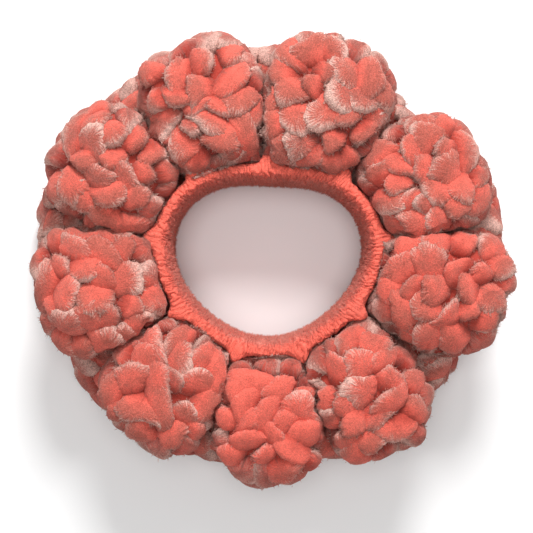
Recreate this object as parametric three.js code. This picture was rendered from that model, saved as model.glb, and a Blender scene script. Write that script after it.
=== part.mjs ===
import * as THREE from "three";

// Spa headband: an elastic ribbed sleeve ring that carries two staggered rows of stuffed puffs.
// Millimetres, +Z up along the axis of the ring, resting on its lower row of puffs.

// The head opening, measured at the innermost line of the sleeve
const openingRadius = 42.8;
const openingOval = 4.5;
const openingPoint = 2.3;
const openingShiftX = -1.8;
const openingShiftY = 0.3;

// The sleeve ring, a hollow tube of gathered velvet
const sleeveDepth = 10;
const sleeveCrown = 0.54 * sleeveDepth;
const sleeveHeight = 48;
const sleeveWall = 1.2;
const lapLength = 7;
const lapClearance = 0.7;

// The elastic inside the sleeve
const elasticThickness = 1.4;
const elasticInset = sleeveCrown - elasticThickness / 2;
const elasticClearance = 0.9;

// The puffs
const puffLength = 60;
const puffHeight = 34;
const rowNesting = 0.9;
const puffClearance = 0.4;
const coverThickness = 2;
const fillingClearance = 0.4;
const neckRadius = 8;
const crownShare = 0.16;
const seamGap = 0.45;
const sectionGap = 0.3;

const segmentCount = 9;
const firstAngle = 70;

// One line per upper puff: turn from its even place in degrees, length beside the usual one, and
// how much of the room between its neighbours it fills
const upperPuffs = [
  { turn: 1.0, length: 1.02, fullness: 1.0 },
  { turn: 4.2, length: 1.015, fullness: 0.97 },
  { turn: 1.9, length: 0.98, fullness: 0.97 },
  { turn: 0.6, length: 0.99, fullness: 0.98 },
  { turn: 0.1, length: 0.97, fullness: 0.99 },
  { turn: -0.8, length: 0.97, fullness: 0.98 },
  { turn: -5.5, length: 1.01, fullness: 0.99 },
  { turn: -0.8, length: 1.02, fullness: 0.98 },
  { turn: -3.0, length: 0.95, fullness: 0.98 },
];

// One line per lower puff, which sits half a step on from the upper one
const lowerPuffs = [
  { turn: 1.5, length: 1.0, fullness: 0.94 },
  { turn: 2.5, length: 0.94, fullness: 0.94 },
  { turn: 1.0, length: 0.99, fullness: 0.96 },
  { turn: 3.0, length: 0.98, fullness: 0.97 },
  { turn: 0.0, length: 0.92, fullness: 0.97 },
  { turn: -1.5, length: 0.94, fullness: 0.95 },
  { turn: -5.0, length: 0.94, fullness: 0.97 },
  { turn: -1.0, length: 0.98, fullness: 0.97 },
  { turn: -0.5, length: 0.82, fullness: 0.95 },
];

const degrees = Math.PI / 180;
const stepAngle = 360 / segmentCount;
const rowRise = puffHeight * rowNesting;
const middleHeight = (puffHeight + rowRise) / 2;

const chenille = new THREE.MeshStandardMaterial({ name: "chenille_velvet", color: 0xd8705c, roughness: 0.95 });
const velvet = new THREE.MeshStandardMaterial({ name: "ribbed_velvet", color: 0xe0604c, roughness: 0.9 });
const rubber = new THREE.MeshStandardMaterial({ name: "elastic_webbing", color: 0xf2eee6, roughness: 0.7 });
const fibre = new THREE.MeshStandardMaterial({ name: "polyester_fibre", color: 0xfafaf6, roughness: 1 });

// Distance from the axis to the innermost line of the sleeve
function openingAt(angle) {
  const oval = openingOval * Math.cos(2 * angle);
  const point = openingPoint * Math.sin(3 * angle);
  const shift = openingShiftX * Math.cos(angle) + openingShiftY * Math.sin(angle);
  return openingRadius + oval + point + shift;
}

// Height above the middle of the sleeve's skin, set in by some depth, at a distance from the opening line
function skinHeight(fromOpening, inset) {
  const outward = fromOpening > sleeveCrown;
  const power = outward ? 4 : 2.2;
  const reach = (outward ? sleeveDepth - sleeveCrown : sleeveCrown) - inset;
  const share = Math.min(Math.abs(sleeveCrown - fromOpening) / reach, 1);
  return (sleeveHeight / 2 - inset) * Math.pow(1 - Math.pow(share, power), 1 / power);
}

// Half the width of elastic that fits inside the sleeve's skin, set in by some depth
function elasticHalf(inset) {
  const near = skinHeight(elasticInset, inset);
  const far = skinHeight(elasticInset + elasticThickness, inset);
  return Math.min(near, far) - elasticClearance;
}

// One closed ring of points round the tube: rounded towards the head, flatter towards the puffs
function tubeRing(angle, inset) {
  const count = 16;
  const ring = [];
  for (let i = 0; i < count; i += 1) {
    const turn = (i / count) * 2 * Math.PI;
    const outward = Math.cos(turn) > 0;
    const power = outward ? 4 : 2.2;
    const side = outward ? sleeveDepth - sleeveCrown - inset : sleeveCrown - inset;
    const across = Math.sign(Math.cos(turn)) * Math.pow(Math.abs(Math.cos(turn)), 2 / power);
    const up = Math.sign(Math.sin(turn)) * Math.pow(Math.abs(Math.sin(turn)), 2 / power);
    const radius = openingAt(angle) + sleeveCrown + side * across;
    const height = middleHeight + (sleeveHeight / 2 - inset) * up;
    ring.push(new THREE.Vector3(radius * Math.cos(angle), radius * Math.sin(angle), height));
  }
  return ring;
}

// One rectangle across the elastic
function elasticRing(angle, halfHeight) {
  const near = openingAt(angle) + elasticInset;
  const far = near + elasticThickness;
  return [[near, -1], [far, -1], [far, 1], [near, 1]].map(
    ([radius, side]) =>
      new THREE.Vector3(
        radius * Math.cos(angle),
        radius * Math.sin(angle),
        middleHeight + side * halfHeight,
      ),
  );
}

// Skins a run of rings, either joined end to start or capped at both ends
function loft(rings, joined) {
  const size = rings[0].length;
  const positions = rings.flat().flatMap((p) => [p.x, p.y, p.z]);
  const faces = [];
  const last = joined ? rings.length : rings.length - 1;
  for (let i = 0; i < last; i += 1) {
    const here = i * size;
    const next = ((i + 1) % rings.length) * size;
    for (let j = 0; j < size; j += 1) {
      const k = (j + 1) % size;
      faces.push(here + j, here + k, next + k);
      faces.push(here + j, next + k, next + j);
    }
  }
  if (!joined) {
    const end = (rings.length - 1) * size;
    for (let j = 1; j < size - 1; j += 1) {
      faces.push(0, j + 1, j);
      faces.push(end, end + j, end + j + 1);
    }
  }
  const geometry = new THREE.BufferGeometry();
  geometry.setAttribute("position", new THREE.Float32BufferAttribute(positions, 3));
  geometry.setIndex(faces);
  return facingOut(geometry);
}

// Turns every face round when the surface encloses a negative volume
function facingOut(geometry) {
  const p = geometry.getAttribute("position");
  const faces = geometry.index.array;
  const a = new THREE.Vector3();
  const b = new THREE.Vector3();
  const c = new THREE.Vector3();
  let volume = 0;
  for (let i = 0; i < faces.length; i += 3) {
    a.fromBufferAttribute(p, faces[i]);
    b.fromBufferAttribute(p, faces[i + 1]);
    c.fromBufferAttribute(p, faces[i + 2]);
    volume += a.dot(b.cross(c));
  }
  if (volume < 0) {
    for (let i = 0; i < faces.length; i += 3) {
      const kept = faces[i];
      faces[i] = faces[i + 1];
      faces[i + 1] = kept;
    }
  }
  geometry.computeVertexNormals();
  return geometry;
}

// Angles from one end of a run to the other, ends included
function anglesBetween(from, to, steps) {
  return Array.from({ length: steps + 1 }, (_, i) => from + ((to - from) * i) / steps);
}

// A length of sleeve, open at both ends; the closing one has a narrow end that tucks into its neighbour
function sleeveSection(from, to, tucked) {
  const angles = anglesBetween(from, to, 5);
  const outer = angles.map((angle) => tubeRing(angle, 0));
  const inner = angles.map((angle) => tubeRing(angle, sleeveWall));
  if (tucked) {
    const lap = lapLength / (openingRadius + sleeveCrown);
    const step = 1.6 * degrees;
    const narrow = sleeveWall + lapClearance;
    outer.unshift(tubeRing(from - lap, narrow), tubeRing(from, narrow));
    inner.unshift(tubeRing(from - lap, narrow + sleeveWall), tubeRing(from + step, narrow + sleeveWall));
    inner[2] = tubeRing(from + step, sleeveWall);
  }
  return loft(outer.concat(inner.reverse()), true);
}

// A length of elastic; the closing one runs on through the tucked end of its sleeve
function elasticSection(from, to, tucked) {
  const full = elasticHalf(sleeveWall);
  const rings = anglesBetween(from, to, 5).map((angle) => elasticRing(angle, full));
  if (tucked) {
    const lap = lapLength / (openingRadius + sleeveCrown);
    const step = 2.4 * degrees;
    const slim = elasticHalf(2 * sleeveWall + lapClearance);
    rings[0] = elasticRing(from + step, full);
    rings.unshift(elasticRing(from - lap, slim), elasticRing(from + step, slim));
  }
  return loft(rings, false);
}

// Profile points from the far pole, over a short flat crown, to where the surface meets a given radius
function bulge(half, width, endRadius, steps) {
  const flat = crownShare * half;
  const end = Math.PI - Math.asin(endRadius / width);
  const far = anglesBetween(0, Math.PI / 2, steps);
  const near = anglesBetween(Math.PI / 2, end, steps - 1);
  const outward = far.map(
    (turn) => new THREE.Vector2(width * Math.sin(turn), flat + (half - flat) * Math.cos(turn)),
  );
  const inward = near.map(
    (turn) => new THREE.Vector2(width * Math.sin(turn), (half - flat) * Math.cos(turn) - flat),
  );
  return outward.concat(inward);
}

// Turns a profile about the outward axis, then flattens it to the puff's height
function turned(profile, halfWidth, halfHeight) {
  const sides = 12;
  const geometry = new THREE.LatheGeometry(profile, sides, Math.PI / sides);
  const grow = 1 / Math.cos(Math.PI / sides);
  geometry.rotateZ(-Math.PI / 2);
  geometry.scale(1, grow, (grow * halfHeight) / halfWidth);
  geometry.deleteAttribute("normal");
  geometry.deleteAttribute("uv");
  const rings = [];
  const p = geometry.getAttribute("position");
  const count = profile.length;
  for (let j = 0; j < count; j += 1) {
    const ring = [];
    for (let i = 0; i < sides; i += 1) {
      ring.push(new THREE.Vector3().fromBufferAttribute(p, i * count + j));
    }
    rings.push(ring);
  }
  return poled(rings);
}

// Skins a run of rings whose first and last have shrunk to a point
function poled(rings) {
  const size = rings[0].length;
  const middle = rings.slice(1, -1);
  const start = rings[0][0];
  const end = rings[rings.length - 1][0];
  const positions = middle.flat().flatMap((p) => [p.x, p.y, p.z]);
  positions.push(start.x, start.y, start.z, end.x, end.y, end.z);
  const first = middle.length * size;
  const lastRing = (middle.length - 1) * size;
  const faces = [];
  for (let j = 0; j < size; j += 1) {
    const k = (j + 1) % size;
    faces.push(first, k, j);
    faces.push(first + 1, lastRing + j, lastRing + k);
    for (let i = 0; i < middle.length - 1; i += 1) {
      const here = i * size;
      const next = here + size;
      faces.push(here + j, here + k, next + k);
      faces.push(here + j, next + k, next + j);
    }
  }
  const geometry = new THREE.BufferGeometry();
  geometry.setAttribute("position", new THREE.Float32BufferAttribute(positions, 3));
  geometry.setIndex(faces);
  return facingOut(geometry);
}

// The fabric shell of a puff, open at the neck that is sewn to the sleeve
function coverGeometry(half, halfWidth) {
  const throat = neckRadius - coverThickness;
  const outside = bulge(half, halfWidth, neckRadius, 4);
  outside.push(new THREE.Vector2(neckRadius, -half));
  const inside = bulge(half - coverThickness, halfWidth - coverThickness, throat, 3);
  inside.push(new THREE.Vector2(throat, -half));
  return turned(outside.concat(inside.reverse()), halfWidth, puffHeight / 2);
}

// The loose fibre that fills a puff
function fillingGeometry(half, halfWidth) {
  const shrink = coverThickness + fillingClearance;
  const profile = bulge(half - shrink, halfWidth - shrink, neckRadius - shrink, 3);
  profile.push(new THREE.Vector2(0, shrink - half));
  const share = puffHeight / 2 / halfWidth;
  return turned(profile, halfWidth - shrink, (halfWidth - shrink) * share - fillingClearance / 2);
}

// The point of the sleeve's outer wall that is nearest to a place in the plan
function nearestWall(place, angle) {
  let nearest = null;
  let least = Infinity;
  for (let i = -60; i <= 60; i += 1) {
    const turn = angle + i * 0.5 * degrees;
    const radius = openingAt(turn) + sleeveDepth;
    const wall = new THREE.Vector2(radius * Math.cos(turn), radius * Math.sin(turn));
    if (wall.distanceTo(place) < least) {
      least = wall.distanceTo(place);
      nearest = wall;
    }
  }
  return nearest;
}

// Where a puff lies: it stands on the sleeve's wall at its own angle, square to the wall
function puffPlace(angle, length) {
  const outward = new THREE.Vector2(Math.cos(angle), Math.sin(angle));
  let distance = openingAt(angle) + sleeveDepth + seamGap + length / 2;
  let middle = outward.clone().multiplyScalar(distance);
  let wall = nearestWall(middle, angle);
  for (let i = 0; i < 8; i += 1) {
    distance += length / 2 + seamGap - wall.distanceTo(middle);
    middle = outward.clone().multiplyScalar(distance);
    wall = nearestWall(middle, angle);
  }
  const half = wall.distanceTo(middle) - seamGap;
  return { middle, half, facing: Math.atan2(middle.y - wall.y, middle.x - wall.x) };
}

// The half width at which a puff of this length reaches just so far along a line that leaves its
// sideways axis by a lean
function widthFor(reach, half, lean) {
  const round = reach - crownShare * half * Math.sin(lean);
  const lengthwise = (1 - crownShare) * half * Math.sin(lean);
  return Math.sqrt(round * round - lengthwise * lengthwise) / Math.cos(lean);
}

// A row of puffs; each is as wide as the room that its two neighbours leave it, whatever its length
function puffRow(settings, startAngle) {
  const places = settings.map((puff, k) =>
    puffPlace((startAngle + k * stepAngle + puff.turn) * degrees, puff.length * puffLength),
  );
  return places.map((place, k) => {
    const outward = new THREE.Vector2(Math.cos(place.facing), Math.sin(place.facing));
    const widths = [segmentCount - 1, 1].map((step) => {
      const line = places[(k + step) % segmentCount].middle.clone().sub(place.middle);
      const lean = Math.asin(Math.abs(line.clone().normalize().dot(outward)));
      const reach = (settings[k].fullness * line.length()) / 2 - puffClearance;
      return widthFor(reach, place.half, lean);
    });
    return { ...place, halfWidth: Math.min(...widths) };
  });
}

function addPuff(segment, kind, index, place, height) {
  const puff = new THREE.Group();
  puff.position.set(place.middle.x, place.middle.y, height);
  puff.rotation.z = place.facing;
  const cover = new THREE.Mesh(coverGeometry(place.half, place.halfWidth), chenille);
  cover.name = kind + "_puff_cover_" + index;
  const filling = new THREE.Mesh(fillingGeometry(place.half, place.halfWidth), fibre);
  filling.name = kind + "_puff_filling_" + index;
  puff.add(cover, filling);
  segment.add(puff);
}

const headband = new THREE.Group();
headband.name = "spa_headband";
const upperRow = puffRow(upperPuffs, firstAngle);
const lowerRow = puffRow(lowerPuffs, firstAngle + stepAngle / 2);

for (let k = 0; k < segmentCount; k += 1) {
  const segment = new THREE.Group();
  segment.name = "segment_" + k;
  const start = (firstAngle + (k - 0.25) * stepAngle) * degrees;
  const end = start + stepAngle * degrees;
  const gapAngle = sectionGap / openingRadius / 2;
  const closing = k === 5;
  const lap = lapLength / (openingRadius + sleeveCrown);

  const sleeve = new THREE.Mesh(sleeveSection(start + gapAngle, end - gapAngle, closing), velvet);
  sleeve.name = "sleeve_section_" + k;
  const elasticEnd = k === 4 ? end - lap - 3 * gapAngle : end - gapAngle;
  const elastic = new THREE.Mesh(elasticSection(start + gapAngle, elasticEnd, closing), rubber);
  elastic.name = "elastic_section_" + k;
  segment.add(sleeve, elastic);

  addPuff(segment, "upper", k, upperRow[k], puffHeight / 2 + rowRise);
  addPuff(segment, "lower", k, lowerRow[k], puffHeight / 2);
  headband.add(segment);
}

// The origin is the middle of the footprint, on the face that the headband rests on
const box = new THREE.Box3().setFromObject(headband, true);
const centre = box.getCenter(new THREE.Vector3());
headband.position.set(-centre.x, -centre.y, -box.min.z);

export default headband;
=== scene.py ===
import math
import bpy
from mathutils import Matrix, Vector
import numpy as np


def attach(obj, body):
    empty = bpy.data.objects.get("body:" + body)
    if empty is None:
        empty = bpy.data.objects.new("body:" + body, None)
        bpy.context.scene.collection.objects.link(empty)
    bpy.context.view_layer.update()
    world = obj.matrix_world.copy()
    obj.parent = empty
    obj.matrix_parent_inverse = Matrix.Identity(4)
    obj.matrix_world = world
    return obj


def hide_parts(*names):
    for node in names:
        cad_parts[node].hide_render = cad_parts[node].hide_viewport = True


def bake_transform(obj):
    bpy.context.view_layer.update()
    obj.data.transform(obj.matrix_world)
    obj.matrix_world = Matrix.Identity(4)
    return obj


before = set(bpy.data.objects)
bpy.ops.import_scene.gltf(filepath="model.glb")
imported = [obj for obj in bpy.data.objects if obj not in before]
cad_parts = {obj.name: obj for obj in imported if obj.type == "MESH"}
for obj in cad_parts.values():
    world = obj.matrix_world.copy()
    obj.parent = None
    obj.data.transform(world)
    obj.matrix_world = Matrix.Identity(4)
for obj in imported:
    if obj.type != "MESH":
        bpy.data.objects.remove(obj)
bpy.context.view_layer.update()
segments = 9
print("frame loaded")


# small helpers

def easeStep(low, high, values):  # 0 below low, 1 above high, smooth between
    share = np.clip((values - low) / (high - low), 0.0, 1.0)
    return share * share * (3.0 - 2.0 * share)


def unit(vectors):  # each vector along the last axis divided by its length
    return vectors / np.maximum(np.linalg.norm(vectors, axis=-1, keepdims=True), 1e-12)


def meshPiece(name, points, quads, tris, attributes, material):
    mesh = bpy.data.meshes.new(name)
    corners = np.concatenate([quads.ravel(), tris.ravel()]).astype(np.int32)
    starts = np.concatenate([np.arange(len(quads)) * 4, len(quads) * 4 + np.arange(len(tris)) * 3])
    mesh.vertices.add(len(points))
    mesh.vertices.foreach_set("co", points.astype(np.float32).ravel())
    mesh.loops.add(len(corners))
    mesh.loops.foreach_set("vertex_index", corners)
    mesh.polygons.add(len(starts))
    mesh.polygons.foreach_set("loop_start", starts.astype(np.int32))
    mesh.polygons.foreach_set("use_smooth", np.ones(len(starts), bool))
    mesh.update(calc_edges=True)
    for key, values in attributes.items():
        vector = values.ndim == 2
        layer = mesh.attributes.new(key, "FLOAT_VECTOR" if vector else "FLOAT", "POINT")
        layer.data.foreach_set("vector" if vector else "value", values.astype(np.float32).ravel())
    mesh.materials.append(material)
    piece = bpy.data.objects.new(name, mesh)
    bpy.context.scene.collection.objects.link(piece)
    return piece


def pileTufts(points, lean, lengths, width, chance):
    # each tuft is a three-sided needle: three base corners on a small circle about its root and
    # one tip at root + lean * length; returns the corners, the faces and 0 at roots, 1 at tips
    side = unit(np.cross(lean, chance.normal(size=lean.shape)))
    other = np.cross(lean, side)
    turn = np.array([0.0, 2.0, 4.0]) * math.pi / 3.0
    circle = side[:, None, :] * np.cos(turn)[None, :, None] + other[:, None, :] * np.sin(turn)[None, :, None]
    base = points[:, None, :] + circle * width - lean[:, None, :] * 0.0003
    tip = points + lean * lengths[:, None]
    corners = np.concatenate([base, tip[:, None, :]], axis=1).reshape(-1, 3)
    first = np.arange(len(points))[:, None] * 4
    faces = np.array([[0, 2, 1], [0, 1, 3], [1, 2, 3], [2, 0, 3]]).ravel()[None, :] + first
    return corners, faces.reshape(-1, 3), np.tile([0.0, 0.0, 0.0, 1.0], len(points))


# materials

def feed(tree, slot, value):  # a socket is linked to the slot, anything else becomes its value
    if isinstance(value, bpy.types.NodeSocket):
        tree.links.new(value, slot)
    else:
        slot.default_value = value


def mixColour(tree, factor, first, second, blend="MIX"):
    node = tree.nodes.new("ShaderNodeMix")
    node.data_type = "RGBA"
    node.blend_type = blend
    for slot, value in ((0, factor), (6, first), (7, second)):
        feed(tree, node.inputs[slot], value)
    return node.outputs[2]


def calc(tree, operation, first, second=0.0, third=0.0):
    node = tree.nodes.new("ShaderNodeMath")
    node.operation = operation
    for slot, value in enumerate((first, second, third)):
        feed(tree, node.inputs[slot], value)
    return node.outputs[0]


def noise(tree, vector, scale, detail, rough):
    node = tree.nodes.new("ShaderNodeTexNoise")
    tree.links.new(vector, node.inputs["Vector"])
    feed(tree, node.inputs["Scale"], scale)
    node.inputs["Detail"].default_value = detail
    node.inputs["Roughness"].default_value = rough
    return node.outputs["Fac"]


def ramp(tree, value, low, high):
    node = tree.nodes.new("ShaderNodeMapRange")
    node.interpolation_type = "SMOOTHSTEP"
    tree.links.new(value, node.inputs["Value"])
    node.inputs["From Min"].default_value = low
    node.inputs["From Max"].default_value = high
    return node.outputs["Result"]


def attributeOut(tree, name, output="Fac"):
    node = tree.nodes.new("ShaderNodeAttribute")
    node.attribute_name = name
    return node.outputs[output]


def velvetGroup():
    # pile colour: from Root to Face with the dust, which is partly painted shade; a pale painted sheen
    # towards the rims and at the tips, in streaks along the pile's own flow and in drifts with the dust;
    # dark flecks; a deep red painted shade deep down
    group = bpy.data.node_groups.new("velvetPile", "ShaderNodeTree")
    for kind, direction, names in (
            ("NodeSocketColor", "INPUT", ("Root", "Face", "Frost", "PaintedShade")),
            ("NodeSocketFloat", "INPUT", ("RimSheen", "DustAndPaintedLight", "Depth", "TipSheen", "Frosting", "Fuzz Scale")),
            ("NodeSocketVector", "INPUT", ("Flow", "Place")),
            ("NodeSocketColor", "OUTPUT", ("Colour",)),
            ("NodeSocketFloat", "OUTPUT", ("Height",))):
        for name in names:
            group.interface.new_socket(name=name, in_out=direction, socket_type=kind)
    inn = group.nodes.new("NodeGroupInput").outputs
    out = group.nodes.new("NodeGroupOutput").inputs
    streaks = noise(group, inn["Flow"], 1.0, 2.0, 0.55)
    patches = noise(group, inn["Place"], 130.0, 2.0, 0.5)
    fuzz = noise(group, inn["Place"], inn["Fuzz Scale"], 4.0, 0.75)
    patchy = calc(group, "MULTIPLY_ADD", patches, 0.7, -0.35)
    # the dust picks the duller Face colour; the dust is partly painted shade
    face = ramp(group, calc(group, "ADD", inn["DustAndPaintedLight"], patchy), 0.02, 0.50)
    colour = mixColour(group, face, inn["Root"], inn["Face"])
    # painted sheen: the pale colour is laid on at the rims, in streaks and in drifts, standing in for light
    # off the velvet's pile
    streaky = calc(group, "MULTIPLY_ADD", streaks, 1.7, -0.85)
    dusty = calc(group, "ADD", inn["RimSheen"], calc(group, "MULTIPLY_ADD", fuzz, 1.0, -0.5))
    clouds = ramp(group, noise(group, inn["Place"], 34.0, 1.0, 0.5), 0.50, 0.70)
    sheenDrifts = calc(group, "MULTIPLY", clouds, inn["DustAndPaintedLight"])
    sheenMask = ramp(group, calc(group, "ADD", calc(group, "ADD", dusty, streaky), sheenDrifts), 0.30, 1.20)
    sheenMask = calc(group, "MULTIPLY", sheenMask, inn["Frosting"])
    colour = mixColour(group, sheenMask, colour, inn["Frost"])
    grain = calc(group, "MULTIPLY_ADD", noise(group, inn["Place"], 1700.0, 4.0, 0.75), 4.6, -1.3)
    speckle = calc(group, "MAXIMUM", grain, 0.25)
    flecks = group.nodes.new("ShaderNodeCombineColor")
    for channel in range(3):
        group.links.new(speckle, flecks.inputs[channel])
    flecked = calc(group, "MULTIPLY_ADD", inn["DustAndPaintedLight"], 0.45, 0.42)
    colour = mixColour(group, flecked, colour, flecks.outputs[0], "MULTIPLY")
    tipSheenMix = calc(group, "MULTIPLY", inn["TipSheen"], calc(group, "MULTIPLY_ADD", streaks, 0.9, 0.1))
    # painted sheen on the tuft tips
    colour = mixColour(group, tipSheenMix, colour, inn["Frost"])
    # painted shade: deep red in creases, at the lobe roots and under the lobes
    shadeMix = calc(group, "MULTIPLY", inn["Depth"], calc(group, "MULTIPLY_ADD", fuzz, 0.7, 0.6))
    colour = mixColour(group, calc(group, "MINIMUM", shadeMix, 1.0), colour, inn["PaintedShade"])
    group.links.new(colour, out["Colour"])
    ridges = calc(group, "MULTIPLY", streaks, calc(group, "MULTIPLY_ADD", inn["RimSheen"], 1.1, 0.25))
    group.links.new(calc(group, "MULTIPLY_ADD", fuzz, 0.6, ridges), out["Height"])
    return group


velvetPile = velvetGroup()


def velvet(name, look):
    material = bpy.data.materials.new(name)
    material.use_nodes = True
    tree = material.node_tree
    shader = tree.nodes["Principled BSDF"]
    pile = tree.nodes.new("ShaderNodeGroup")
    pile.node_tree = velvetPile
    for key in ("Root", "Face", "Frost", "PaintedShade"):
        pile.inputs[key].default_value = (*look[key], 1.0)
    pile.inputs["Frosting"].default_value = look["paintedSheenAmount"]
    pile.inputs["Fuzz Scale"].default_value = look["fuzzScale"]
    for key, source in (("RimSheen", "rimSheenShare"), ("DustAndPaintedLight", "dustShare"), ("Depth", "paintedShadeShare"),
                        ("TipSheen", "tipSheenShare")):
        tree.links.new(attributeOut(tree, source), pile.inputs[key])
    tree.links.new(attributeOut(tree, "pileFlow", "Vector"), pile.inputs["Flow"])
    place = tree.nodes.new("ShaderNodeTexCoord")
    tree.links.new(place.outputs["Object"], pile.inputs["Place"])
    tree.links.new(pile.outputs["Colour"], shader.inputs["Base Color"])
    bump = tree.nodes.new("ShaderNodeBump")
    bump.inputs["Strength"].default_value = look["bump"]
    bump.inputs["Distance"].default_value = look["bumpDepth"]
    tree.links.new(pile.outputs["Height"], bump.inputs["Height"])
    tree.links.new(bump.outputs["Normal"], shader.inputs["Normal"])
    shader.inputs["Roughness"].default_value = 0.92
    shader.inputs["Specular IOR Level"].default_value = 0.15
    shader.inputs["Sheen Weight"].default_value = look["sheen"]
    shader.inputs["Sheen Roughness"].default_value = look["sheenRoughness"]
    shader.inputs["Sheen Tint"].default_value = (*look["sheenTint"], 1.0)
    return material


# the pale third colour is a painted sheen and the deep red fourth a painted shade; the fifth entry is how
# much painted sheen is laid on
chenilleLook = {
    "Root": (0.80, 0.145, 0.105), "Face": (0.50, 0.120, 0.088), "Frost": (0.80, 0.50, 0.425),
    "PaintedShade": (0.26, 0.016, 0.010), "paintedSheenAmount": 0.96, "fuzzScale": 1100.0, "bump": 1.0,
    "bumpDepth": 0.0012, "sheen": 0.28, "sheenRoughness": 0.30, "sheenTint": (1.0, 0.66, 0.57),
}
ribbedLook = dict(chenilleLook, Root=(0.92, 0.165, 0.115), Face=(0.70, 0.150, 0.110),
                  Frost=(0.78, 0.36, 0.29), paintedSheenAmount=0.42, bump=0.9, bumpDepth=0.0011, sheen=0.16)
chenille = velvet("chenilleVelvet", chenilleLook)
ribbedVelvet = velvet("ribbedVelvet", ribbedLook)


def elasticWebbing():
    # woven elastic: fine ridges along the band crossed by finer weft, with a slight yellowing and painted
    # shade in the grooves
    material = bpy.data.materials.new("elasticWebbing")
    material.use_nodes = True
    tree = material.node_tree
    shader = tree.nodes["Principled BSDF"]
    place = tree.nodes.new("ShaderNodeTexCoord").outputs["Object"]
    cords = tree.nodes.new("ShaderNodeTexWave")
    cords.bands_direction = "Z"
    cords.inputs["Scale"].default_value = 250.0
    cords.inputs["Distortion"].default_value = 0.4
    tree.links.new(place, cords.inputs["Vector"])
    weft = noise(tree, place, 1400.0, 2.0, 0.6)
    aged = noise(tree, place, 60.0, 3.0, 0.6)
    colour = mixColour(tree, ramp(tree, aged, 0.35, 0.75), (0.88, 0.87, 0.83, 1), (0.78, 0.75, 0.67, 1))
    # painted shade in the grooves between the ridges
    grooveShade = calc(tree, "MULTIPLY", cords.outputs["Fac"], 0.35)
    shaded = mixColour(tree, grooveShade, colour, (0.45, 0.43, 0.40, 1))
    tree.links.new(shaded, shader.inputs["Base Color"])
    bump = tree.nodes.new("ShaderNodeBump")
    bump.inputs["Strength"].default_value = 0.6
    bump.inputs["Distance"].default_value = 0.0004
    tree.links.new(calc(tree, "MULTIPLY_ADD", cords.outputs["Fac"], -0.8, weft), bump.inputs["Height"])
    tree.links.new(bump.outputs["Normal"], shader.inputs["Normal"])
    shader.inputs["Roughness"].default_value = 0.7
    return material


def fibreFilling():
    # loose white fibre: soft clumps with fine strands
    material = bpy.data.materials.new("fibreFilling")
    material.use_nodes = True
    tree = material.node_tree
    shader = tree.nodes["Principled BSDF"]
    place = tree.nodes.new("ShaderNodeTexCoord").outputs["Object"]
    clumps = noise(tree, place, 180.0, 4.0, 0.7)
    strands = noise(tree, place, 1500.0, 5.0, 0.8)
    colour = mixColour(tree, ramp(tree, clumps, 0.3, 0.7), (0.74, 0.74, 0.72, 1), (0.93, 0.93, 0.91, 1))
    tree.links.new(colour, shader.inputs["Base Color"])
    bump = tree.nodes.new("ShaderNodeBump")
    bump.inputs["Strength"].default_value = 0.9
    bump.inputs["Distance"].default_value = 0.0015
    tree.links.new(calc(tree, "MULTIPLY_ADD", strands, 0.5, clumps), bump.inputs["Height"])
    tree.links.new(bump.outputs["Normal"], shader.inputs["Normal"])
    shader.inputs["Roughness"].default_value = 1.0
    shader.inputs["Sheen Weight"].default_value = 0.4
    return material


elastic = elasticWebbing()
filling = fibreFilling()
for k in range(segments):
    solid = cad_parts[f"elastic_section_{k}"]
    solid.data.materials.clear()
    solid.data.materials.append(elastic)
print("materials made")


# the ring that everything is set out from

ring = {
    "centre": (0.00205, 0.001077), "radius": 0.0428, "oval": 0.0045, "point": 0.0023,
    "shift": (-0.0018, 0.0003), "depth": 0.010, "crown": 0.0054, "height": 0.048, "middle": 0.0323,
    "firstAngle": 70.0,
}


def openingAt(angle):  # distance from the ring's centre to the innermost line of the sleeve
    return (ring["radius"] + ring["oval"] * np.cos(2 * angle) + ring["point"] * np.sin(3 * angle)
            + ring["shift"][0] * np.cos(angle) + ring["shift"][1] * np.sin(angle))


def clearOfSleeve(points, gap):
    # the sleeve's section is a squared oval; a point inside it, grown by gap, moves straight out
    # from the section's middle line to its skin
    across = points[:, 0] - ring["centre"][0]
    along = points[:, 1] - ring["centre"][1]
    angle = np.arctan2(along, across)
    distance = np.hypot(across, along)
    middle = openingAt(angle) + ring["crown"]
    side = distance - middle
    reach = np.where(side > 0, ring["depth"] - ring["crown"], ring["crown"]) + gap
    up = (points[:, 2] - ring["middle"]) / (ring["height"] / 2 + gap)
    share = (np.abs(side / reach) ** 3 + np.abs(up) ** 3) ** (1 / 3)
    grow = np.where(share < 1, 1 / np.maximum(share, 0.2), 1.0)
    moved = points.copy()
    outward = np.where(share < 1, (grow - 1) * side, 0.0)
    moved[:, 0] += outward * np.cos(angle)
    moved[:, 1] += outward * np.sin(angle)
    moved[:, 2] = ring["middle"] + (points[:, 2] - ring["middle"]) * grow
    return moved


# puffs

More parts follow.
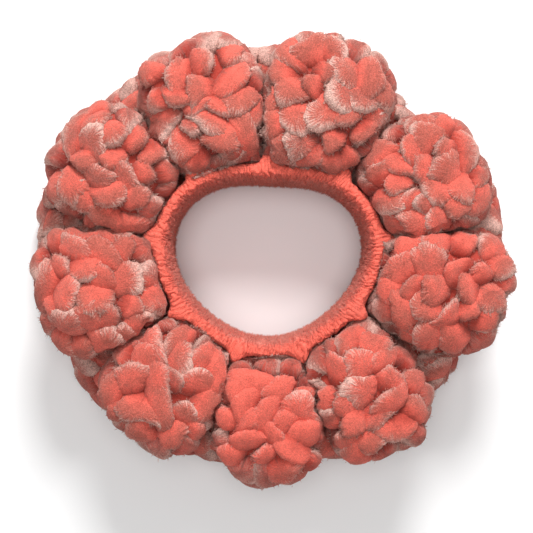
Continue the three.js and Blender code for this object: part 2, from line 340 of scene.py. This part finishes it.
puff = {
    "around": 48, "along": 26, "squareness": 3.0, "setIn": (0.0028, 0.0004, 0.0028), "seed": 11,
    "lobes": 68, "lobeSpread": 1.42, "thick": 0.0050, "under": 0.0022, "rise": 0.0006,
    "tilt": 0.40, "curl": 0.0016, "ridge": 0.00048, "tufts": 8200,
    "swell": ((0.060, 2.0), (0.045, 3.2), (0.020, 5.5)),
    "turned": 0.8, "sizes": (0.66, 1.34), "stretches": (0.88, 1.46), "tipLengths": (0.92, 1.12),
    "sweeps": (-0.30, 0.55), "rootLengths": (0.85, 1.15), "bends": (-0.30, 0.30), "lifts": (0, 0.0012),
    "tuftWidth": 0.00020, "waver": 0.0014, "reach": 0.085, "give": 0.0026, "floorGive": 0.0022,
    "usualHalf": (0.027, 0.027, 0.018), "neighbourGap": 0.0002, "floorGap": 0.00025,
    "sleeveGap": 0.0006, "sleeveOverhang": 0.0016, "sleeveGive": 0.0022, "sleeveWaver": 0.0007,
    "tuftLength": 0.0007, "rimTuftLength": 0.0009, "tuftScatter": 0.00035,
    "fillingSetIn": 0.0022, "fillingGap": 0.0018, "clumpHeight": 0.00018,
    # dust per segment, higher on the puffs that lie more in shade, so that it is partly painted shade
    "dust": (1.55, 1.15, 1.08, 0.95, 0.92, 0.22, 0.88, 0.78, 1.0),  # one for each segment
}


def puffFrame(node):
    # outward, sideways and up directions with the half sizes, from the CAD cover's own corners
    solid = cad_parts[node]
    corners = np.empty(len(solid.data.vertices) * 3, np.float32)
    solid.data.vertices.foreach_get("co", corners)
    corners = corners.reshape(-1, 3).astype(float)
    middle = (corners.min(0) + corners.max(0)) / 2
    outward = unit(np.array([middle[0] - ring["centre"][0], middle[1] - ring["centre"][1], 0.0]))
    sideways = np.array([-outward[1], outward[0], 0.0])
    upward = np.array([0.0, 0.0, 1.0])
    axes = np.stack([outward, sideways, upward])
    local = corners @ axes.T
    low, high = local.min(0), local.max(0)
    return {"centre": ((low + high) / 2) @ axes, "axes": axes, "half": (high - low) / 2}


def sphereGrid(around, along):
    # unit directions: rings of longitude points at even steps from one pole, the outward end, to
    # the other, with a single point at each pole
    polar = np.pi * np.arange(1, along) / along
    turn = 2 * np.pi * np.arange(around) / around
    grid = np.stack([
        np.repeat(np.cos(polar)[:, None], around, 1),
        np.sin(polar)[:, None] * np.cos(turn)[None, :],
        np.sin(polar)[:, None] * np.sin(turn)[None, :],
    ], axis=-1).reshape(-1, 3)
    points = np.vstack([grid, [[1.0, 0, 0], [-1.0, 0, 0]]])
    index = np.arange((along - 1) * around).reshape(along - 1, around)
    right = np.roll(index, -1, axis=1)
    quads = np.stack([index[:-1], index[1:], right[1:], right[:-1]], axis=-1).reshape(-1, 4)
    first, last = len(grid), len(grid) + 1
    tris = np.vstack([
        np.stack([np.full(around, first), index[0], right[0]], axis=-1),
        np.stack([np.full(around, last), right[-1], index[-1]], axis=-1),
    ])
    return points, quads, tris


def pillow(directions, half, wobble):
    # a squared ball: a direction's length is one over its p-norm, stretched to the half sizes and
    # swollen or pinched a little by slow waves; also gives the outward normals
    power = puff["squareness"]
    length = 1 / (np.abs(directions) ** power).sum(1) ** (1 / power)
    waves = sum(size * np.sin(directions @ way + phase) for size, way, phase in wobble)
    normals = unit(np.sign(directions) * np.abs(directions) ** (power - 1) / half)
    return directions * length[:, None] * half * (1 + waves)[:, None], normals


def lobeGrid():
    # one lobe's own grid: turn runs round it from its tip, polar from the middle of its top, over
    # the rim, to the middle of its underside; returns both with its faces
    around = 50
    polar = np.radians([20, 40, 58, 73, 87, 103, 133])
    turn = 2 * np.pi * np.arange(around) / around - np.pi
    p, t = np.meshgrid(polar, turn, indexing="ij")
    rings = len(polar)
    index = np.arange(rings * around).reshape(rings, around)
    right = np.roll(index, -1, axis=1)
    quads = np.stack([index[:-1], index[1:], right[1:], right[:-1]], axis=-1).reshape(-1, 4)
    top, bottom = rings * around, rings * around + 1
    tris = np.vstack([np.stack([np.full(around, top), index[0], right[0]], -1),
                      np.stack([np.full(around, bottom), right[-1], index[-1]], -1)])
    return np.append(p.ravel(), [0.0, np.pi]), np.append(t.ravel(), [0.0, 0.0]), quads, tris


def spreadOut(count, half, wobble, chance):
    # evenly spaced places: of many tries, always the one farthest from all those already taken
    tries = unit(chance.normal(size=(2500, 3)) * half)
    places = pillow(tries, half, wobble)[0]
    taken = [0]
    gap = np.linalg.norm(places - places[0], axis=1)
    for _ in range(count - 1):
        taken.append(int(np.argmax(gap * chance.uniform(0.86, 1.0, len(gap)))))
        gap = np.minimum(gap, np.linalg.norm(places - places[taken[-1]], axis=1))
    return tries[taken]


def lobeLayout(half, wobble, crown, chance):
    # where each lobe sits on the ball, which way its tip points, and its own sizes: the usual
    # radius is that of one lobe's share of the ball's area, taken as an ellipsoid's, grown by
    # lobeSpread
    count = puff["lobes"]
    seeds = spreadOut(count, half, wobble, chance)
    middles, normals = pillow(seeds, half, wobble)
    away = unit(chance.normal(size=normals.shape) * 0.12 - crown)
    away = unit(away - (away * normals).sum(1)[:, None] * normals)
    turned = chance.normal(size=count) * puff["turned"]
    tip = away * np.cos(turned)[:, None] + np.cross(normals, away) * np.sin(turned)[:, None]
    power = 1.6
    area = 4 * np.pi * (((half[0] * half[1]) ** power + (half[0] * half[2]) ** power
                         + (half[1] * half[2]) ** power) / 3) ** (1 / power)
    usual = puff["lobeSpread"] * (area / count / np.pi) ** 0.5
    onCrown = easeStep(0.3, 0.95, normals @ crown)
    size = chance.uniform(*puff["sizes"], count)
    stretch = chance.uniform(*puff["stretches"], count)
    return {  # in the order of their random draws
        "middles": middles, "normals": normals, "tip": tip, "across": np.cross(normals, tip),
        "onCrown": onCrown[:, None],
        "wide": (usual * size * stretch * (0.94 + 0.14 * onCrown))[:, None],
        "tipLength": (usual * size * chance.uniform(*puff["tipLengths"], count) / stretch)[:, None],
        "sweep": chance.uniform(*puff["sweeps"], count)[:, None],
        "rootLength": (usual * chance.uniform(*puff["rootLengths"], count))[:, None],
        "bend": chance.uniform(*puff["bends"], count)[:, None],
        "notch": chance.uniform(0, 6.3, (4, count))[:, :, None],
        "lift": chance.uniform(*puff["lifts"], count)[:, None] + puff["rise"],
    }


def lobeForm(lobe, share, polar, turn):
    # an outline that is an oval, longer to its root than to its tip, bent and scalloped, under a
    # low dome that tilts up towards its tip and curls down at the rim. Returns x towards the tip,
    # y across it and the height off the ball
    notch = lobe["notch"]
    scallop = (1 + 0.06 * np.sin(2 * turn + notch[0]) + 0.08 * np.sin(3 * turn + notch[1])
               + 0.055 * np.sin(5 * turn + notch[2]) + 0.025 * np.sin(13 * turn + notch[3]))
    toTip = np.cos(turn)
    x = share * scallop * toTip * np.where(toTip > 0, lobe["tipLength"], lobe["rootLength"])
    y = share * scallop * np.sin(turn) * lobe["wide"]
    y = y + lobe["bend"] * x * x / lobe["wide"]
    x = x - lobe["sweep"] * y * y / lobe["wide"]
    level = np.cos(polar)
    dome = np.abs(level) ** 0.75
    height = np.where(level > 0, puff["thick"] * dome, -puff["under"] * dome) + lobe["lift"]
    height = height + puff["tilt"] * x * (0.6 + 0.4 * lobe["onCrown"])
    height = height - puff["curl"] * share ** 5 * (0.5 + 0.5 * toTip)
    ridges = np.sin(17 * turn + notch[0] + 2 * np.sin(2 * turn + notch[1]))
    height = height + puff["ridge"] * ridges * share ** 3 * (level > -0.3)
    return x, y, height


def lobeShades(lobe, share, polar, turn, x, crown, dust, chance):
    # painted rim sheen, dust that is partly painted shade, painted shade and how much pile shows, each 0 to
    # 1:
    # painted sheen gathers at the tip and rim and on lobes that lie far from the crown or face outwards,
    # where painted shade is added too; painted shade also at the root and on the underside
    normals, count = lobe["normals"], puff["lobes"]
    level, toTip = np.cos(polar), np.cos(turn)
    upperSide = level > -0.5
    ahead = np.clip(x / lobe["tipLength"], -1.2, 1.2)
    # lobes far from the crown or facing outwards get painted sheen and painted shade at the puff's edges
    edgeSheenAndShade = np.maximum(easeStep(0.75, 0.05, normals @ crown), easeStep(0.35, 1.0, normals[:, 0]))[:, None]
    # dust, partly painted shade, plus painted sheen at the edges
    dusty = dust * chance.uniform(0.4, 1.1, count)[:, None] + 0.90 * edgeSheenAndShade
    dusted = (0.45 * easeStep(-0.75, 0.25, ahead) + 0.35 * share ** 3) * dusty * upperSide
    # how strong each lobe's painted sheen is
    sheenStrength = chance.uniform(0.45, 1.15, count)[:, None] * (0.6 + 0.4 * dust) + 0.80 * edgeSheenAndShade
    # painted sheen at the tip and rim, with a few lobes sheened all over
    rimSheen = 0.25 * easeStep(-0.3, 0.9, ahead)
    rimSheen = rimSheen + 0.75 * share ** 2.4 * (0.30 + 0.70 * easeStep(-0.5, 0.5, toTip))
    rimSheen = (rimSheen * sheenStrength + 0.33 * edgeSheenAndShade) * upperSide
    rimSheen = rimSheen + (chance.uniform(0, 1, count) > 0.90)[:, None] * 0.20
    # painted shade under the lobe, at its root where its neighbour covers it, and at the puff's edges
    underside = easeStep(0.08, -0.40, level) + 0 * x
    root = easeStep(-0.30, -1.0, ahead) * 0.65
    paintedShadeMask = np.clip(underside + root + 0.24 * edgeSheenAndShade, 0, 1)
    shown = easeStep(-0.25, 0.1, level) * (0.04 + share ** 9 * easeStep(-0.7, 0.3, toTip)) + 0 * x
    return rimSheen.ravel(), dusted.ravel(), paintedShadeMask.ravel(), shown.ravel()


def lobedSkin(shape, crown, dust, chance):
    # a puff is a squared ball covered in overlapping shell-shaped lobes, which follow its surface:
    # a lobe's flat point middle + x * tip + y * across is dropped onto the ball and raised by height
    half = shape["half"] - np.array(puff["setIn"])
    wobble = shape["wobble"]
    directions, baseQuads, baseTris = sphereGrid(puff["around"], puff["along"])
    base, baseNormals = pillow(directions, half, wobble)
    lobe = lobeLayout(half, wobble, crown, chance)
    tip, across = lobe["tip"][:, None, :], lobe["across"][:, None, :]

    polar, turn, quads, tris = lobeGrid()
    polar, turn = polar[None], turn[None]
    share = np.sin(polar) ** 0.85  # 0 in the middle of a lobe, 1 at its rim
    x, y, height = lobeForm(lobe, share, polar, turn)
    flat = (lobe["middles"][:, None, :] + x[..., None] * tip + y[..., None] * across).reshape(-1, 3)
    seat, seatNormals = pillow(unit(flat / half), half, wobble)
    # painted rim sheen, dust that is partly painted shade, painted shade, and where the pile shows
    rim, dusted, paintedShadeMask, shown = lobeShades(lobe, share, polar, turn, x, crown, dust, chance)

    outwards = unit(np.cos(turn)[..., None] * tip + np.sin(turn)[..., None] * across).reshape(-1, 3)
    pile = unit(outwards * (0.25 + 0.75 * share ** 2 + 0 * x).reshape(-1)[:, None] + seatNormals * 0.8)
    number = np.arange(puff["lobes"])
    flow = np.stack([turn * 20.0 + 0 * x, share * 2.2 + 0 * x, number[:, None] * 7.31 + 0 * x], -1)
    first = number[:, None, None] * polar.shape[1] + len(base)
    blank = np.zeros(len(base))
    return {
        "points": np.vstack([base, seat + seatNormals * height.reshape(-1)[:, None]]),
        "quads": np.vstack([baseQuads, (quads[None] + first).reshape(-1, 4)]),
        "tris": np.vstack([baseTris, (tris[None] + first).reshape(-1, 3)]),
        "rim": np.concatenate([blank, rim]),
        "dust": np.concatenate([blank, dusted]),
        # the ball under the lobes is painted well into shade
        "paintedShadeMask": np.concatenate([blank + 0.7, paintedShadeMask]),
        "flow": np.vstack([base * 900, flow.reshape(-1, 3)]),
        "pile": np.vstack([baseNormals, pile]),
        "exposed": np.concatenate([blank + 0.01, shown]),
    }


def pressed(points, plane, normal, give, waver=0.0):
    # soft contact: what would pass a plane is squeezed up against it, never through; the plane
    # itself wavers in slow ripples that both neighbours share
    ripple = (np.sin(points @ (310.0, -190.0, 240.0)) + np.sin(points @ (-150.0, 420.0, 330.0))
              + 0.7 * np.sin(points @ (560.0, 480.0, -350.0)))
    depth = (points - plane) @ normal - waver * ripple
    squeezed = -give * np.exp(-np.clip(depth + give, 0, None) / give)
    return points + np.where(depth > -give, squeezed - depth, 0.0)[:, None] * normal


def backFromSleeve(points, gap):
    # what would hang over the top of the sleeve is squeezed back to the sleeve's outer side, along
    # a line that wavers in and out
    across = points[:, 0] - ring["centre"][0]
    along = points[:, 1] - ring["centre"][1]
    angle = np.arctan2(along, across)
    give = puff["sleeveGive"]
    waves = np.sin(points @ (310.0, -190.0, 140.0)) + np.sin(points @ (-230.0, 420.0, 230.0))
    ripple = puff["sleeveWaver"] * waves
    depth = openingAt(angle) + ring["depth"] + gap + ripple - np.hypot(across, along)
    moved = np.where(depth > -give, depth + give * np.exp(-np.clip(depth + give, 0, None) / give), 0.0)
    return points + moved[:, None] * np.stack([np.cos(angle), np.sin(angle), 0 * angle], -1)


def settled(points, kind, index, shapes, gap):
    # neighbours press against each other, against the sleeve and against the table
    shape = shapes[kind, index]
    for other, near in shapes.items():
        apart = near["centre"] - shape["centre"]
        if other == (kind, index) or np.linalg.norm(apart) > puff["reach"]:
            continue
        normal = unit(apart / np.array(puff["usualHalf"]) ** 2)
        waver = puff["waver"] if (kind, index) < other else -puff["waver"]
        plane = shape["centre"] + apart / 2 - normal * (puff["neighbourGap"] + gap)
        points = pressed(points, plane, normal, puff["give"], waver)
    points = clearOfSleeve(points, puff["sleeveGap"] + gap)
    points = backFromSleeve(points, gap - puff["sleeveOverhang"])
    table = np.array([0, 0, puff["floorGap"] + gap])
    return pressed(points, table, np.array([0, 0, -1.0]), puff["floorGive"])


def makeFilling(kind, index, shapes, chance):
    # the fibre inside a puff: its squared ball, set in under the fabric, with low clumps
    shape = shapes[kind, index]
    directions, quads, tris = sphereGrid(40, 22)
    half = shape["half"] - np.array(puff["setIn"]) - puff["fillingSetIn"]
    points, normals = pillow(directions, half, shape["wobble"])
    clumps = sum(np.sin(directions @ way) for way in chance.normal(size=(5, 3)) * 9)
    points = points + normals * (clumps * puff["clumpHeight"])[:, None]
    points = settled(points @ shape["axes"] + shape["centre"], kind, index, shapes, puff["fillingGap"])
    piece = meshPiece(f"{kind}Filling{index}", points, quads, tris, {}, filling)
    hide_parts(f"{kind}_puff_filling_{index}")
    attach(piece, f"segment_{index}")


def makePuff(kind, index, shapes):
    shape = shapes[kind, index]
    chance = np.random.default_rng(puff["seed"] + index * 2 + (kind == "lower") * 101)
    shape["wobble"] = [(size, chance.normal(size=3) * pace, chance.uniform(0, 6.3))
                       for size, pace in puff["swell"]]
    crown = unit(np.array([0.25, 0.0, 1.0])) if kind == "upper" else unit(np.array([1.0, 0.0, 0.25]))
    skin = lobedSkin(shape, crown, puff["dust"][index], chance)
    makeFilling(kind, index, shapes, chance)
    points = settled(skin["points"] @ shape["axes"] + shape["centre"], kind, index, shapes, 0.0)
    pile = skin["pile"] @ shape["axes"]

    chosen = chance.choice(len(points), puff["tufts"], p=skin["exposed"] / skin["exposed"].sum())
    lean = unit(pile[chosen] + chance.normal(size=(len(chosen), 3)) * 0.20)
    lengths = puff["tuftLength"] + puff["rimTuftLength"] * np.minimum(skin["rim"][chosen], 1)
    lengths = lengths * chance.uniform(0.6, 1.25, len(chosen))
    roots = points[chosen] + chance.normal(size=(len(chosen), 3)) * puff["tuftScatter"]
    corners, faces, tips = pileTufts(roots, lean, lengths, puff["tuftWidth"], chance)
    corners[:, 2] = np.maximum(corners[:, 2], 0.0001)
    spread = np.repeat(chosen, 4)
    # painted sheen on the tuft tips, the more so at the rims
    tipSheenMask = tips * np.clip(0.35 + 0.75 * skin["rim"][spread], 0, 1)
    attributes = {
        "rimSheenShare": np.concatenate([skin["rim"], skin["rim"][spread]]),
        "dustShare": np.concatenate([skin["dust"], skin["dust"][spread]]),
        "paintedShadeShare": np.concatenate([skin["paintedShadeMask"], skin["paintedShadeMask"][spread] * 0.4]),
        "tipSheenShare": np.concatenate([np.zeros(len(points)), tipSheenMask]),
        "pileFlow": np.vstack([skin["flow"], skin["flow"][spread]]),
    }
    piece = meshPiece(f"{kind}Puff{index}", np.vstack([points, corners]), skin["quads"],
                      np.vstack([skin["tris"], faces + len(points)]), attributes, chenille)
    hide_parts(f"{kind}_puff_cover_{index}")
    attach(piece, f"segment_{index}")


shapes = {(kind, k): puffFrame(f"{kind}_puff_cover_{k}")
          for kind in ("upper", "lower") for k in range(segments)}
for kind, k in shapes:
    makePuff(kind, k, shapes)
print("puffs made")


# the ribbed sleeve

sleeve = {
    "ribs": 16, "perRib": 7, "section": 60, "ribHeight": 0.0016, "wall": 0.0011, "tufts": 3600,
    "gapFill": 0.0055, "gapSpread": 0.075, "filledInset": 0.002, "chances": 400,
    "tuck": 0.0185, "tuckRibs": 0.35, "tuckTufts": 900, "seamTufts": 1300, "tuftWidth": 0.00018,
    "lapOuter": 0.02, "lapInner": 0.015, "lapTucked": 0.03, "endInset": 0.0019,
    "endStraighten": 0.0010, "startInset": 0.0031, "startStraighten": 0.0021, "seed": 5,
}


def segmentAngle(k):  # the middle of a sleeve section
    return math.radians(ring["firstAngle"] + (k + 0.25) * 360 / segments)


seamAngle = (segmentAngle(4) + segmentAngle(5)) / 2
tuckAngle = sleeve["tuck"] / (ring["radius"] + ring["crown"])
gapAngles = {}  # for each row, the angle in the middle of each gap between two puffs
for kind in ("upper", "lower"):
    offsets = [shapes[kind, k]["centre"][:2] - ring["centre"] for k in range(segments)]
    around = np.unwrap([np.arctan2(along, across) for across, along in offsets])
    gapAngles[kind] = (around + np.append(around[1:], around[0] + 2 * np.pi)) / 2


def swollen(angles, kind):  # 1 at the middle of each gap between two puffs of a row, 0 away from it
    away = (angles[..., None] - gapAngles[kind] + np.pi) % (2 * np.pi) - np.pi
    return np.exp(-(away / sleeve["gapSpread"]) ** 2).sum(-1)


def sleeveSkin(angles, inset, ribbing, chanceTable, straighten):
    # the section is a squared oval, rounder towards the head than towards the puffs; each rib
    # rises as half a circle across its own width, and its height and line wander slowly. Between
    # puffs, a skin that is set in by less than filledInset is swollen to fill the gap; straighten
    # moves the skin outwards with the square of the distance from the seam
    count = sleeve["section"]
    turn = 2 * np.pi * np.arange(count) / count
    outside = np.cos(turn) > 0
    power = np.where(outside, 4.0, 2.2)
    side = np.where(outside, ring["depth"] - ring["crown"], ring["crown"]) - inset
    across = np.sign(np.cos(turn)) * np.abs(np.cos(turn)) ** (2 / power)
    up = np.sign(np.sin(turn)) * np.abs(np.sin(turn)) ** (2 / power)
    normalAcross = np.sign(across) * np.abs(across) ** (power - 1) / (side / 0.01)
    normalUp = np.sign(up) * np.abs(up) ** (power - 1) / ((ring["height"] / 2 - inset) / 0.01)
    size = np.hypot(normalAcross, normalUp)
    normalAcross, normalUp = normalAcross / size, normalUp / size
    a, t = np.meshgrid(angles, turn, indexing="ij")
    line = a * segments * sleeve["ribs"] / (2 * np.pi)
    wander = (0.75 * np.sin(5 * a + 1.3) + 0.45 * np.sin(13 * a + 0.4) + 0.40 * np.sin(29 * a + 2.0)
              + 0.34 * np.sin(3 * t + 17 * a) + 0.26 * np.sin(7 * t - 31 * a)
              + 0.14 * np.sin(11 * t + 53 * a))
    phase = line + wander
    within = 2 * (phase - np.floor(phase)) - 1
    number = np.floor(phase).astype(int) % sleeve["chances"]
    strength = chanceTable[number]
    along = 0.65 + 0.35 * np.sin(3 * t + 40 * strength)
    rise = np.sqrt(np.clip(1 - within ** 2, 0, 1))
    lumps = 0.45 * np.sin(37 * a + 5 * t) * np.sin(23 * a - 9 * t + 1.0) + 0.30 * np.sin(71 * a + 13 * t)
    gathers = (0.35 + 0.85 * strength) * along * (rise - 0.85)
    height = ribbing * sleeve["ribHeight"] * (gathers + 0.45 * lumps - 0.15)
    fill = (swollen(a, "upper") * easeStep(0.0, 0.7, up)[None]
            + swollen(a, "lower") * easeStep(0.0, 0.7, -up)[None])
    fill = fill * sleeve["gapFill"] * easeStep(0.0, 0.8, across)[None] * (inset < sleeve["filledInset"])
    distance = openingAt(a) + ring["crown"] + side[None] * across[None] + fill
    distance = distance + height * normalAcross[None]
    distance = distance + straighten * np.clip(np.abs(a - seamAngle) / tuckAngle, 0, 1) ** 2
    z = ring["middle"] + (ring["height"] / 2 - inset) * up[None] + height * normalUp[None]
    points = np.stack([ring["centre"][0] + distance * np.cos(a),
                       ring["centre"][1] + distance * np.sin(a), z], -1)
    normals = np.stack([normalAcross[None] * np.cos(a), normalAcross[None] * np.sin(a),
                        np.repeat(normalUp[None], len(angles), 0)], -1)
    inward = np.repeat((across * np.where(outside, 0.3, 1.0))[None], len(angles), 0)
    inward = easeStep(0.25, -0.95, inward)
    return {"points": points, "normals": normals, "rise": rise, "number": number, "inward": inward,
            "phase": phase, "turn": t, "strength": strength}


def sleeveSpan(name, start, end, inset, bodies, nodes, tufts, ribbing=1.0, straighten=0.0):
    # a double-walled tube: the gathered outside runs from start to end and the inside back
    chance = np.random.default_rng(sleeve["seed"] + int(abs(start) * 100))
    table = np.random.default_rng(sleeve["seed"]).uniform(0, 1, sleeve["chances"])
    perTurn = segments * sleeve["ribs"] * sleeve["perRib"]
    steps = max(8, int(round(abs(end - start) * perTurn / (2 * np.pi))))
    angles = np.linspace(start, end, steps + 1)
    outer = sleeveSkin(angles, inset, ribbing, table, straighten)
    inner = sleeveSkin(angles[::-1], inset + sleeve["wall"], ribbing, table, straighten)
    count = sleeve["section"]
    rows = 2 * len(angles)
    points = np.concatenate([outer["points"], inner["points"]]).reshape(-1, 3)
    index = np.arange(rows * count).reshape(rows, count)
    nextRow, nextColumn = np.roll(index, -1, axis=0), np.roll(index, -1, axis=1)
    both = np.roll(nextRow, -1, axis=1)
    quads = np.stack([index, nextRow, both, nextColumn], axis=-1).reshape(-1, 4)
    groove = 1 - outer["rise"]
    # painted sheen on the rib tops and, most, on the wall towards the head
    rim = 0.22 * outer["rise"] + 0.55 * outer["inward"] ** 1.5 * (0.3 + 0.7 * outer["rise"])
    rim = np.clip(rim, 0, 1)
    # painted shade in the grooves, deeper towards the head
    paintedShadeMask = easeStep(0.15, 0.95, groove) * (0.35 + 0.65 * outer["strength"])
    paintedShadeMask = paintedShadeMask * (0.8 + 0.5 * outer["inward"])
    flow = np.stack([outer["phase"] * 5.0, outer["turn"] * 3.0, outer["number"] * 1.7], -1)
    outPoints, outNormals = outer["points"].reshape(-1, 3), outer["normals"].reshape(-1, 3)
    weight = (0.25 + outer["inward"] * 1.4).ravel()
    chosen = chance.choice(len(outPoints), tufts, p=weight / weight.sum())
    lean = unit(outNormals[chosen] + chance.normal(size=(tufts, 3)) * 0.45)
    lengths = (0.0005 + 0.0008 * outer["inward"].ravel()[chosen]) * chance.uniform(0.6, 1.3, tufts)
    corners, faces, tips = pileTufts(outPoints[chosen], lean, lengths, sleeve["tuftWidth"], chance)
    spread = np.repeat(chosen, 4)
    # painted sheen on the tuft tips, the more so towards the head
    tipSheenMask = tips * (0.15 + 0.8 * outer["inward"].ravel()[spread])
    plain = np.zeros(outer["rise"].size)
    # the dust here is painted sheen only
    attributes = {
        "rimSheenShare": np.concatenate([rim.ravel(), plain, rim.ravel()[spread]]),
        "dustShare": np.concatenate([0.6 * rim.ravel(), plain, 0.6 * rim.ravel()[spread]]),
        "paintedShadeShare": np.concatenate([paintedShadeMask.ravel(), plain, 0.3 * paintedShadeMask.ravel()[spread]]),
        "tipSheenShare": np.concatenate([plain, plain, tipSheenMask]),
        "pileFlow": np.vstack([flow.reshape(-1, 3), flow.reshape(-1, 3), flow.reshape(-1, 3)[spread]]),
    }
    allPoints = np.vstack([points, corners])
    piece = meshPiece(name, allPoints, quads, faces + len(points), attributes, ribbedVelvet)
    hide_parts(*nodes)
    if len(bodies) == 2:
        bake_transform(piece)
    else:
        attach(piece, bodies[0])


for k in (0, 1, 2, 3, 5, 6, 7, 8):
    follower = (k + 1) % segments
    sleeveSpan(f"sleeveSpan{k}", segmentAngle(k), segmentAngle(k + 1), 0.0,
               (f"segment_{k}", f"segment_{follower}"),
               (f"sleeve_section_{k}", f"sleeve_section_{follower}"), sleeve["tufts"])
sleeveSpan("sleeveSeamOuter", segmentAngle(4), seamAngle + sleeve["lapOuter"], 0.0,
           ("segment_4",), ("sleeve_section_4",), sleeve["seamTufts"])
sleeveSpan("sleeveSeamInner", seamAngle + sleeve["lapInner"], segmentAngle(5), 0.0,
           ("segment_5",), ("sleeve_section_5",), sleeve["seamTufts"])
# each end of the sleeve runs on inside the other, so that the stretched loop stays covered, and
# is a little straighter than the loop, because the slide that draws it out is straight
sleeveSpan("sleeveTuckedEnd", seamAngle - tuckAngle, seamAngle + sleeve["lapTucked"],
           sleeve["endInset"], ("segment_5",), ("sleeve_section_5",), sleeve["tuckTufts"],
           sleeve["tuckRibs"], sleeve["endStraighten"])
sleeveSpan("sleeveTuckedStart", seamAngle - sleeve["lapTucked"], seamAngle + tuckAngle,
           sleeve["startInset"], ("segment_4",), ("sleeve_section_4",), sleeve["tuckTufts"],
           sleeve["tuckRibs"], sleeve["startStraighten"])
print("sleeve made")


# floor, light and camera

studio = {
    "floor": (0.93, 0.93, 0.93), "floorRadius": 3, "floorSides": 96, "floorHeight": -0.0002,
    "keyLight": ((0.12, 1.0, 0.85), 0.50, 19.5), "topLight": ((-0.05, 0.0, 1.6), 0.9, 9.0),
    "ambient": 0.42, "eye": (-0.0007, -0.0037, 0.78), "lens": 100.0,
}


def makeFloor():
    # a wide flat disc a little under the band: a fan of triangles round its middle
    radius, sides = studio["floorRadius"], studio["floorSides"]
    turn = np.linspace(0, 2 * np.pi, sides + 1)[:-1]
    rim = np.stack([radius * np.cos(turn), radius * np.sin(turn), 0 * turn], -1)
    points = np.vstack([[[0, 0, 0]], rim])
    points[:, 2] = studio["floorHeight"]
    index = np.arange(sides)
    tris = np.stack([0 * index, 1 + index, 1 + (index + 1) % sides], -1)
    material = bpy.data.materials.new("paleFloor")
    material.use_nodes = True
    shader = material.node_tree.nodes["Principled BSDF"]
    shader.inputs["Base Color"].default_value = (*studio["floor"], 1)
    shader.inputs["Roughness"].default_value = 0.9
    floor = meshPiece("floor", points, np.zeros((0, 4), int), tris, {}, material)


def areaLight(name, place, size, power):
    data = bpy.data.lights.new(name, "AREA")
    data.shape = "DISK"
    data.size = size
    data.energy = power
    lamp = bpy.data.objects.new(name, data)
    lamp.location = place
    aim = -np.array(place)
    lamp.rotation_mode = "QUATERNION"
    lamp.rotation_quaternion = Vector(aim).to_track_quat("-Z", "Y")
    bpy.context.scene.collection.objects.link(lamp)


makeFloor()
for lightName in ("keyLight", "topLight"):
    areaLight(lightName, *studio[lightName])
world = bpy.data.worlds.new("studioWorld")
bpy.context.scene.world = world
world.use_nodes = True
world.node_tree.nodes["Background"].inputs["Color"].default_value = (1, 1, 1, 1)
world.node_tree.nodes["Background"].inputs["Strength"].default_value = studio["ambient"]
bpy.context.scene.view_settings.view_transform = "Standard"

eye = bpy.data.cameras.new("eye")
eye.lens = studio["lens"]
eye.clip_end = 50
camera = bpy.data.objects.new("eye", eye)
camera.location = studio["eye"]
bpy.context.scene.collection.objects.link(camera)
bpy.context.scene.camera = camera
print("studio made")
